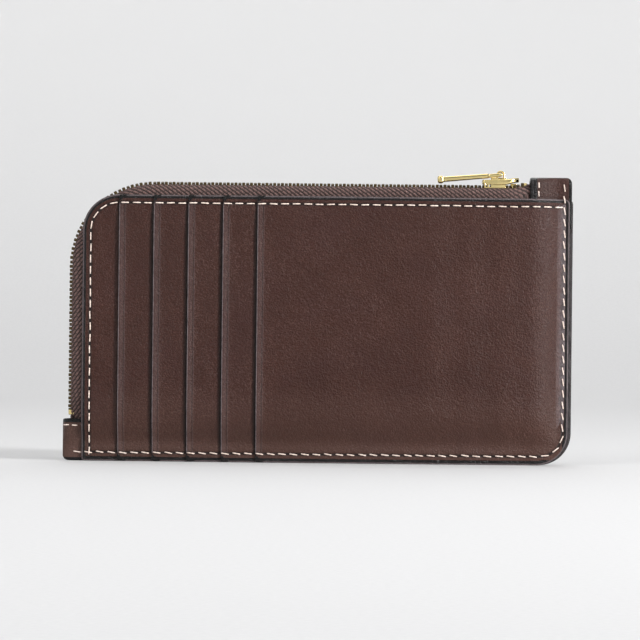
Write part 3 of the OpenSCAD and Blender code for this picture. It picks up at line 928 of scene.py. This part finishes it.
def teeth(side, word):
    """Half of the zip's teeth. The rear's stand half a pitch on from the front's."""
    shape, tooth_faces = bevelled(TOOTH_PROFILE, TOOTH_L, 0.14, 3)
    first = TEETH_FROM_END + (0 if side == FRONT else TOOTH_PITCH / 2)
    shapes = []
    for p in np.arange(first, ROUTE_L - 3.6, TOOTH_PITCH):
        x, z, out = zip_route(p)
        u, along = shape[:, 1] + end_lift(x), shape[:, 2]
        flat_x = x + out[0] * u + out[1] * along
        flat_z = z + out[1] * u - out[0] * along
        shapes.append((np.stack([flat_x, flat_z, shape[:, 0]], axis=1), tooth_faces))
    return dress(make_flat(f"{word}_zip_teeth", *many(shapes), side), TEETH_GOLD_SHADED)


def build_zip():
    for side, word in SIDES:
        stand_for(tape(side, word), f"{word}_tape", side)
        stand_for(teeth(side, word), f"{word}_teeth", side)


# Tabs ------------------------------

TAB_T, TAB_HALF_W, TAB_CORNER_R, TAB_TURN_IN = 0.5, 0.66, 1.5, 1.7
TAB_FLARE, TAB_FLARE_L = 1.85, 7.4
TAB_END_R = 0.3


def quarter(t):
    """How far a quarter circle has fallen at t, from 0 to 1."""
    return 1 - math.sqrt(1 - min(max(t, 0), 1) ** 2)


def tab(node, locate, length, reach, band):
    """A strip folded round the zip's end. Its own frame is (a, b, s): a runs in from the open
    end, b in from the fold, and locate turns (a, b) into (x, z). Its painted edge is band wide."""
    stations = np.concatenate([np.arange(0.15, 2.4, 0.15), np.arange(2.4, length - TAB_CORNER_R, 0.35),
                               np.arange(length - TAB_CORNER_R, length - TAB_END_R, 0.12)])
    half = np.concatenate([np.arange(reach, 3.0, -0.6), np.arange(3.0, TAB_TURN_IN, -0.2)])
    arc = np.radians(np.arange(0, 90.1, 10))

    def half_width(a, b):
        flare = TAB_FLARE * smooth(1 - (a - 0.6) / TAB_FLARE_L) * smooth((10.2 - b) / 3.2)
        press = 0.16 * bump_at(a - band * 0.55, 0.14) + 0.14 * bump_at(a - band - 0.2, 0.2)
        return TAB_HALF_W + flare - press + 0.05 * np.sin(a / 1.7 + b / 2.3)

    def skin(a, b):
        into_fold = np.clip((TAB_TURN_IN - b) / TAB_TURN_IN, 0, 0.97)
        return half_width(a, b) * np.sqrt(1 - into_fold**2)

    def loop(a, inward):
        w = half_width(a, half) - inward
        w_turn = half_width(a, TAB_TURN_IN) - inward
        b = np.concatenate([half, TAB_TURN_IN - (TAB_TURN_IN - 0.02 - inward) * np.sin(arc)])
        s = np.concatenate([w, w_turn * np.cos(arc)])
        b = np.concatenate([b, b[-2::-1]])
        s = np.concatenate([s, -s[-2::-1]])
        back = TAB_CORNER_R * quarter(1 - (length - a) / TAB_CORNER_R) + 0.5 * quarter(1 - a / 0.5)
        b = b + back * np.clip(1 - b / 4, 0, 1)
        x, z = locate(a, b)
        return np.stack([x + 0 * b, z + 0 * b, s], axis=1)

    # Up the inside of the open end, over its edge, along the outside and round the far end
    mouth = [(5.0, TAB_T), (2.0, TAB_T), (0.08, TAB_T), (0, TAB_T - 0.08), (0, 0.1), (0.05, 0.03)]
    rings = [(a, inward, 1.0) for a, inward in mouth]
    rings += [(a, 0, float(a < band or a > length - 0.8)) for a in stations]
    for turn in np.radians((30, 60, 90)):
        rings.append((length - TAB_END_R * (1 - math.sin(turn)), TAB_END_R * (1 - math.cos(turn)), 1.0))
    points = np.concatenate([loop(a, inward) for a, inward, painted in rings])
    count = len(points) // len(rings)
    paint = np.repeat([painted for a, inward, painted in rings], count)
    obj = make_flat(f"{node}_leather", points, tube_faces(len(rings), count), FRONT,
                    {"paint": paint, "painted_shade": 0 * paint, "painted_highlight": 0 * paint})
    stand_for(dress(outwards(obj), TAB_LEATHER_PAINTED_LIGHT), node)
    return skin


def build_tabs():
    """The shut end's tab opens to the left, and the other one opens upwards."""
    (right_x0, _, right_z0), (right_x1, _, right_z1) = mm_box("tab_top_right")
    (left_x0, _, left_z0), (left_x1, _, left_z1) = mm_box("tab_bottom_left")
    right_width = tab("tab_top_right", lambda a, b: (right_x0 + a, right_z1 - b),
                      right_x1 - right_x0, right_z1 - right_z0, band=1.8)
    left_width = tab("tab_bottom_left", lambda a, b: (left_x0 + b, left_z1 - a),
                     left_z1 - left_z0, left_x1 - left_x0, band=1.0)

    right_row = run_places((right_x0 + 2.3, TOP + 0.2), (right_x0 + 2.3, right_z1 - 0.9))
    left_row = [(left_x0 + 1.0, left_z1 - 1.65, 0.0), (left_x0 + 3.25, left_z1 - 1.75, -0.03)]
    rows = []
    for side in (FRONT, REAR):
        for places, skin in (
            (right_row, lambda x, z: right_width(x - right_x0, right_z1 - z)),
            (left_row, lambda x, z: left_width(left_z1 - z, x - left_x0)),
        ):
            flat, faces = stitches(places, skin, length=1.75, radius=0.16)
            rows.append((stand_up(flat, side), turned(faces, side)))
    stand_for(dress(make_object("tab_stitches", *many(rows)), THREAD), "tab_threads")


# Metal -----------------------------

SLIDER_LOW, SLIDER_HIGH = mm_box("slider_body")
SLIDER_L, SLIDER_W = SLIDER_HIGH[0] - SLIDER_LOW[0], SLIDER_HIGH[1] - SLIDER_LOW[1]
SLIDER_FOOT, SLIDER_TOP = SLIDER_LOW[2], SLIDER_HIGH[2]
PIN_X, PIN_Z = np.array(joint("pull_swing")["pos_m"])[[0, 2]] / MM
PULL_L = PIN_X - mm_box("pull_tab")[0][0]
PULL_HALF_W = (mm_box("pull_tab")[1][1] - mm_box("pull_tab")[0][1]) / 2
UPPER_T, LOWER_T, PULL_T = 1.25, 0.72, 1.4
PULL_LEAN = math.radians(-5)


def metal(name, shapes, node, place=(0, 0, 0), body="front_side"):
    """Gold pieces joined into one, moved to their place and put in a CAD node's stead."""
    points, faces = many(shapes)
    obj = dress(outwards(make_object(name, points + place, faces)), GOLD)
    stand_for(obj, node, body=body)


def plate_outline():
    """A slider plate's edge: half of it from its blunt left end to its nose, then the other."""
    half = [(-1, 0.62), (-0.93, 0.82), (-0.6, 0.9), (-0.1, 0.97), (0.3, 1), (0.52, 0.93), (0.74, 0.7),
            (0.92, 0.42), (1, 0.2)]
    upper = [(SLIDER_L / 2 * along, SLIDER_W / 2 * across) for along, across in half]
    return [(x, -y) for x, y in upper] + upper[::-1]


def bar_sweep(centres, normals, half_deep, half_wide, closed=False, sides=16, power=4.0):
    """A bar with a rounded-square section along a path in the XZ plane."""
    angles = np.arange(sides) * math.tau / sides + math.pi / sides
    c, s = np.cos(angles), np.sin(angles)
    r = (np.abs(c) ** power + np.abs(s) ** power) ** (-1 / power)
    points = []
    for (x, z), (out_x, out_z) in zip(centres, normals):
        points.append(np.stack([x + out_x * half_deep * r * c, half_wide * r * s,
                                z + out_z * half_deep * r * c], axis=1))
    faces = ring_faces(len(points), sides, closed) if closed else tube_faces(len(points), sides)
    return np.concatenate(points), faces


def pull_bar():
    """A waisted flat bar, thinner towards its ring, with a cap and a collar at its far end."""
    edge = [(-PULL_L + 0.9, -PULL_HALF_W + 0.1), (-3.4, -PULL_HALF_W + 0.3), (-2.9, -PULL_HALF_W + 0.55)]
    points, faces = bevelled(edge + [(x, -y) for x, y in reversed(edge)], PULL_T, 0.5, 5)
    points[:, 2] *= 0.89 + 0.11 * smooth((-4 - points[:, 0]) / 9)
    points[:, 1] *= 1 - 0.13 * np.sin(math.pi * np.clip((-points[:, 0] - 3) / (PULL_L - 4), 0, 1))
    cap = block((-PULL_L, -PULL_HALF_W, -1.0), (-PULL_L + 1.6, PULL_HALF_W, 1.0), 0.6, 6)
    collar_w = PULL_HALF_W - 0.14
    collar = block((-PULL_L + 1.9, -collar_w, -0.64), (-PULL_L + 2.35, collar_w, 0.64), 0.14, 3)
    return [(points, faces), cap, collar]


def pull_ring():
    """The flat loop that joins the bar to its pin."""
    r, far_x, side_y = 0.6, -2.7, PULL_HALF_W - 0.98
    turns = ((-r, side_y), (far_x, side_y), (far_x, -side_y), (-r, -side_y))
    path, outward = [], []
    for k, (x, y) in enumerate(turns):
        for a in np.radians(np.linspace(0, 90, 8) + 90 * k):
            path.append((x + r * math.cos(a), y + r * math.sin(a)))
            outward.append((math.cos(a), math.sin(a)))
    points, faces = bar_sweep(path, outward, 0.375, 0.46, closed=True)
    return points[:, [0, 2, 1]], faces


def pull_pin(r=0.4, spokes=18):
    a = np.arange(spokes) * math.tau / spokes
    end, shoulder = PULL_HALF_W, PULL_HALF_W - 0.1
    rings = [(-end, r - 0.1), (-shoulder, r), (shoulder, r), (end, r - 0.1)]
    points = [np.stack([ring_r * np.cos(a), y + 0 * a, ring_r * np.sin(a)], axis=1) for y, ring_r in rings]
    return np.concatenate(points), tube_faces(len(rings), spokes)


def slider_plates():
    """The crowned upper plate, whose nose lifts a little, and the flat lower one."""
    upper, upper_faces = bevelled(plate_outline(), UPPER_T, 0.28, 4)
    nose = smooth((upper[:, 0] - 1.0) / 3.2)
    crown = 0.32 * (1 - (upper[:, 1] / SLIDER_W * 2) ** 2) * smooth((upper[:, 0] + 3.5) / 3)
    upper[:, 2] += np.where(upper[:, 2] > 0, crown, 0.35 * nose)
    upper[:, 2] += SLIDER_TOP - UPPER_T / 2 + 0.12 + 0.3 * nose
    lower, lower_faces = bevelled(plate_outline(), LOWER_T, 0.2, 3)
    lower[:, 2] += SLIDER_FOOT + 0.37
    return [(upper, upper_faces), (lower, lower_faces)]


def slider_sides():
    """The flanges that close in on the tape, each on three posts."""
    z = SLIDER_FOOT + 2.0
    shapes = []
    for y in (0.5 - SLIDER_W / 2, SLIDER_W / 2 - 0.5):
        shapes.append(block((-4.35, y - 0.21, z), (1.3, y + 0.21, z + 0.36), 0.1, 3))
        for x0, x1 in ((-4.35, -3.98), (-3.5, -3.05), (-2.57, 1.3)):
            shapes.append(block((x0, y - 0.19, z + 0.2), (x1, y + 0.19, z + 1.4), 0.07, 2))
    return shapes


def bridge_bar():
    """An arch over the pull's pin, splayed where it meets the plate."""
    foot, r = SLIDER_TOP + 0.1, 0.87
    splay = [(0.25, -0.15, 0.8, 0.6), (0.1, 0.15, 0.96, 0.28), (0.0, 0.5, 1, 0)]
    path = [(-r - out, foot + up, -nx, nz) for out, up, nx, nz in splay]
    for a in np.radians(np.arange(180, -1, -12)):
        c, s = math.cos(a), math.sin(a)
        path.append((r * c, PIN_Z + 0.02 + r * s, c, s))
    path += [(r + out, foot + up, nx, nz) for out, up, nx, nz in reversed(splay)]
    path = np.array(path)
    return bar_sweep(path[:, :2], path[:, 2:], 0.27, 0.6)


def build_slider():
    place = (PIN_X, SEAM_Y, 0)
    neck = block((2.6, -0.25, SLIDER_FOOT + 0.4), (4.2, 0.25, SLIDER_FOOT + 3.3), 0.12, 2)
    saddle = block((-2.55, -0.6, SLIDER_TOP - 0.2), (1.45, 0.6, SLIDER_TOP + 0.78), 0.28, 4)
    metal("slider_metal", slider_plates() + slider_sides() + [neck, saddle], "slider_body", place, "slider")
    metal("slider_bridge_metal", [bridge_bar()], "slider_bridge", place, "slider")

    points, faces = many(pull_bar() + [pull_ring(), pull_pin()])
    x, y, z = points.T
    c, s = math.cos(PULL_LEAN), math.sin(PULL_LEAN)
    leaning = np.stack([c * x + s * z, y, c * z - s * x], axis=1)
    metal("pull_metal", [(leaning, faces)], "pull_tab", (PIN_X, SEAM_Y, PIN_Z), "pull")


def build_stops():
    """Crimped clips: one at the end of each row of teeth, and one over both at the bottom."""
    for (side, word), shift in zip(SIDES, (0.0, 0.35)):
        low, high = mm_box(f"top_stop_{word}")
        x0, x1, z = low[0] + shift, high[0] + shift, TOP + 3.05 + end_lift(low[0])
        bar = block((x0, 0.15, z - 1.3), (x1, 1.75, z + 0.3), 0.3, 4)
        lobe = block((x0 + 0.25, 0.0, z), (x1 - 0.25, 1.3, z + 0.55), 0.22, 4)
        points, faces = many([bar, lobe])
        clip = points * (1, side, 1), faces
        metal(f"top_stop_{word}_metal", [clip], f"top_stop_{word}", (0, SEAM_Y, 0))
    z0, z1 = mm_box("bottom_stop")[0][2], mm_box("bottom_stop")[1][2]
    x = LEFT - 3.0
    shapes = [block((x - 0.42, -1.65, z0), (x + 0.25, 1.65, z1), 0.2, 4)]
    for y in (-1.6, 1.6):
        shapes.append(block((x - 0.3, y - 0.16, z0 + 0.05), (x + 1.0, y + 0.16, z1 - 0.05), 0.12, 3))
    metal("bottom_stop_metal", shapes, "bottom_stop", (0, SEAM_Y, 0))


build_front()
build_rear()
build_inside()
build_seams()
build_zip()
build_tabs()
build_slider()
build_stops()


# Stage -----------------------------

LIGHTS = (
    # name, place and size in metres, and power in watts
    ("key_left", (-0.8, -0.95, 0.7), (0.6, 0.6), 5.1),
    ("strip_right", (0.98, -0.59, 0.3), (0.13, 0.8), 22),
    ("fill_low", (-0.1, -1.28, 0.06), (1.2, 0.16), 2.5),
    ("top", (0, 0.05, 1.25), (1.2, 1.2), 8.2),
    ("back", (0.1, 1.1, 0.9), (0.8, 0.8), 4),
)
LIT_POINT = (0, 0, 0.04)
ROOM_LIGHT = 0.34


def sweep_material():
    """Paper, pale grey where the case stands, lighter behind it and dim above."""
    n = Nodes("paper_sweep")
    height = n.axis("Z")
    colour = n.mix(n.span(height, 0.02, 0.4), (0.62, 0.62, 0.625, 1), (0.96, 0.96, 0.96, 1))
    colour = n.mix(n.span(height, 0.45, 0.8), colour, (0.3, 0.3, 0.3, 1))
    fibres = n.spread(n.noise(900, 3), 0.0, 0.2)
    colour = n.mix(fibres, colour, (0.79, 0.79, 0.795, 1))
    return n.finish(colour, 0.8, Specular_IOR_Level=0.2)


def build_stage():
    """A pale floor that turns up into a wall all the way round. Its sizes are in metres."""
    radius, turn_r, wall, steps, spokes = 1.7, 0.9, 2.4, 14, 96
    profile = [(0.3, 0.0), (radius - turn_r, 0.0)]
    for a in np.arange(1, steps + 1) * math.pi / 2 / steps:
        profile.append((radius - turn_r + turn_r * math.sin(a), turn_r - turn_r * math.cos(a)))
    profile.append((radius, wall))
    around = np.arange(spokes) * math.tau / spokes
    points = [(r * math.cos(a), r * math.sin(a), h) for r, h in profile for a in around]
    faces = ring_faces(len(profile), spokes) + [tuple(range(spokes))]
    floor = outwards(make_object("studio_floor", np.array(points) / MM, faces))
    floor.data.materials.append(sweep_material())


def build_lights():
    for name, place, (width, height), power in LIGHTS:
        data = bpy.data.lights.new(name, "AREA")
        data.shape, data.size, data.size_y = "RECTANGLE", width, height
        data.energy = power
        light = bpy.data.objects.new(name, data)
        light.location = place
        light.rotation_euler = (Vector(LIT_POINT) - Vector(place)).to_track_quat("-Z", "Y").to_euler()
        bpy.context.scene.collection.objects.link(light)
    world = bpy.data.worlds.new("room")
    world.use_nodes = True
    background = world.node_tree.nodes["Background"]
    background.inputs["Color"].default_value = (1, 1, 1, 1)
    background.inputs["Strength"].default_value = ROOM_LIGHT
    bpy.context.scene.world = world
    bpy.context.scene.view_settings.view_transform = "Standard"


def build_camera():
    """Square on to the slots, 168 mm across the frame at the case's front."""
    lens, sensor, view_w = 240.0, 36.0, 0.1677
    data = bpy.data.cameras.new("camera")
    data.lens, data.sensor_width = lens, sensor
    camera = bpy.data.objects.new("camera", data)
    place = Vector((0.0005, -0.001 - view_w * lens / sensor, 0.0375))
    roll = math.radians(0.62)
    camera.matrix_world = (Matrix.Translation(place)
                           @ Matrix.Rotation(-roll, 4, "Y")
                           @ Matrix.Rotation(math.pi / 2, 4, "X"))
    bpy.context.scene.collection.objects.link(camera)
    bpy.context.scene.camera = camera


build_stage()
build_lights()
build_camera()
